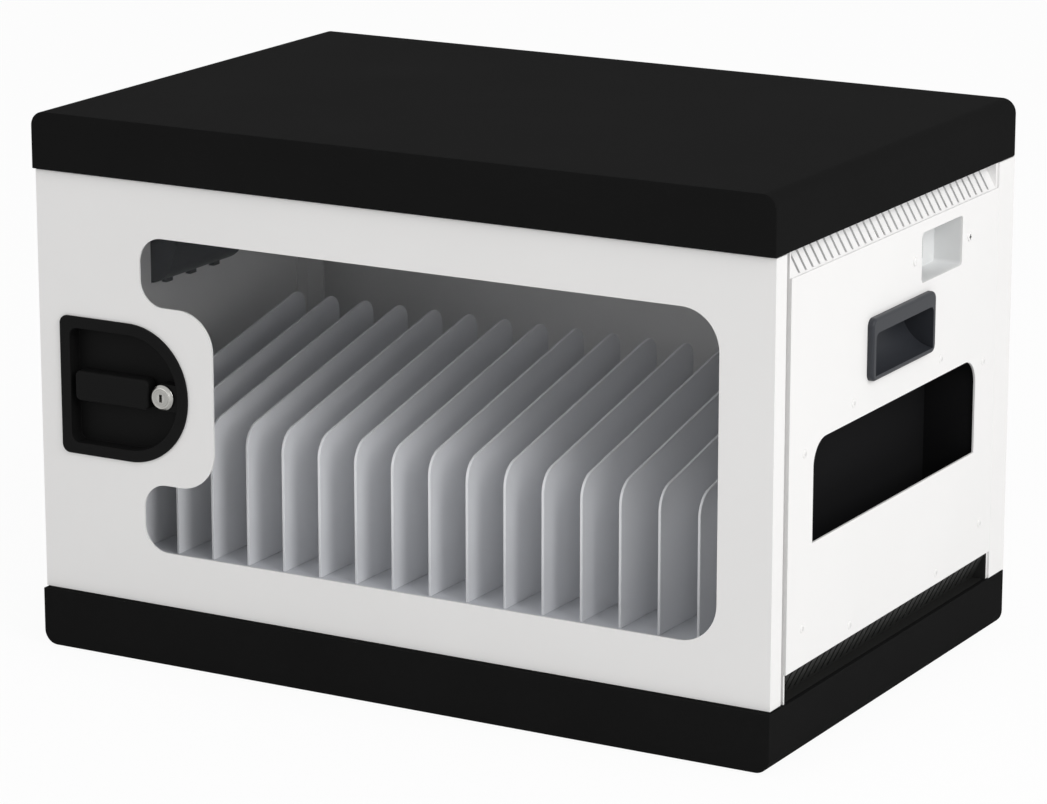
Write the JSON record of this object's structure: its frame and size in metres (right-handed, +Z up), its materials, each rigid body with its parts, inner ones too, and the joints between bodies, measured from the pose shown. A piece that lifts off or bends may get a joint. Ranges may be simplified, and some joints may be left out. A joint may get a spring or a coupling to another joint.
{
  "type": "charging cabinet",
  "caption": "Table-top device charging cabinet with a windowed locking side-hinged door, divider bays, slotted vents, carrying handles, cord pocket and mains inlet.",
  "frame": {"origin": "under the middle of the cabinet's box, on the surface that the rubber feet stand on", "axes": "+X to the cabinet's right seen from the front, +Y from the door to the back, +Z up"},
  "size_m": [0.5688, 0.367, 0.3765],
  "materials": {
    "cap_plastic": "fine-grained black moulding",
    "inner_steel": "satin grey powder coat",
    "panel_paint": "fine-textured off-white powder coat",
    "post_paint": "off-white powder coat",
    "vent_paint": "off-white powder coat",
    "handle_plastic": "satin charcoal moulding",
    "pocket_plastic": "satin charcoal moulding",
    "rivet_steel": "plain steel",
    "inlet_paint": "off-white powder coat",
    "socket_plastic": "black moulding",
    "pin_brass": "bright blades",
    "screw_steel": "zinc plated",
    "module_plastic": "dark grey moulding",
    "foot_rubber": "black rubber",
    "pin_steel": "turned steel",
    "washer_plastic": "black slip washer",
    "bumper_rubber": "black rubber",
    "door_paint": "fine-textured light grey powder coat",
    "window_clear": "clear sheet",
    "clip_steel": "zinc plated",
    "hinge_steel": "light grey powder coat",
    "lock_plastic": "black moulding",
    "lock_nickel": "bright nickel",
    "bar_plastic": "black moulding",
    "cam_steel": "zinc plated",
    "plug_nickel": "bright nickel",
    "divider_paint": "satin grey powder coat"
  },
  "bodies": {
    "cabinet": {"base_tray": "cap_plastic", "base_plate": "inner_steel", "top_cover": "cap_plastic", "roof_plate": "inner_steel", "front_left_post": "post_paint", "front_right_post": "post_paint", "rear_left_post": "post_paint", "rear_right_post": "post_paint", "left_side_panel": "panel_paint", "right_side_panel": "panel_paint", "vent_strips": "vent_paint", "back_panel": "panel_paint", "floor_shelf": "inner_steel", "floor_rails": "inner_steel", "divider_01": "divider_paint", "divider_02": "divider_paint", "divider_03": "divider_paint", "divider_04": "divider_paint", "divider_05": "divider_paint", "divider_06": "divider_paint", "divider_07": "divider_paint", "divider_08": "divider_paint", "divider_09": "divider_paint", "divider_10": "divider_paint", "divider_11": "divider_paint", "divider_12": "divider_paint", "divider_13": "divider_paint", "divider_14": "divider_paint", "divider_15": "divider_paint", "divider_16": "divider_paint", "divider_17": "divider_paint", "left_handle": "handle_plastic", "right_handle": "handle_plastic", "cord_pocket": "pocket_plastic", "pocket_rivets": "rivet_steel", "inlet_box": "inlet_paint", "mains_inlet": "socket_plastic", "inlet_pins": "pin_brass", "inlet_screws": "screw_steel", "charging_module": "module_plastic", "cover_screws": "screw_steel", "base_screws": "screw_steel", "back_panel_rivets": "rivet_steel", "rubber_feet": "foot_rubber", "hinge_pins": "pin_steel", "hinge_washer": "washer_plastic", "door_bumpers": "bumper_rubber"},
    "door": {"door_panel": "door_paint", "window_pane": "window_clear", "pane_clips": "clip_steel", "hinge_blocks": "hinge_steel", "lock_housing": "lock_plastic", "lock_barrel": "lock_nickel", "barrel_nut": "clip_steel"},
    "latch": {"latch_bar": "bar_plastic", "latch_cam": "cam_steel", "latch_screw": "screw_steel"},
    "lock": {"lock_plug": "plug_nickel", "lock_tongue": "cam_steel", "tongue_screw": "screw_steel"}
  },
  "joints": [
    {"name": "door_hinge", "type": "hinge", "parent": "cabinet", "child": "door", "pos_m": [0.271, -0.1725, 0.18925], "axis": [0, 0, 1], "range_deg": [0, 180]},
    {"name": "latch_turn", "type": "hinge", "parent": "door", "child": "latch", "pos_m": [-0.2207, -0.17, 0.18925], "axis": [0, 1, 0], "range_deg": [0, 90]},
    {"name": "lock_turn", "type": "hinge", "parent": "door", "child": "lock", "pos_m": [-0.1792, -0.17, 0.18925], "axis": [0, 1, 0], "range_deg": [0, 90]}
  ]
}
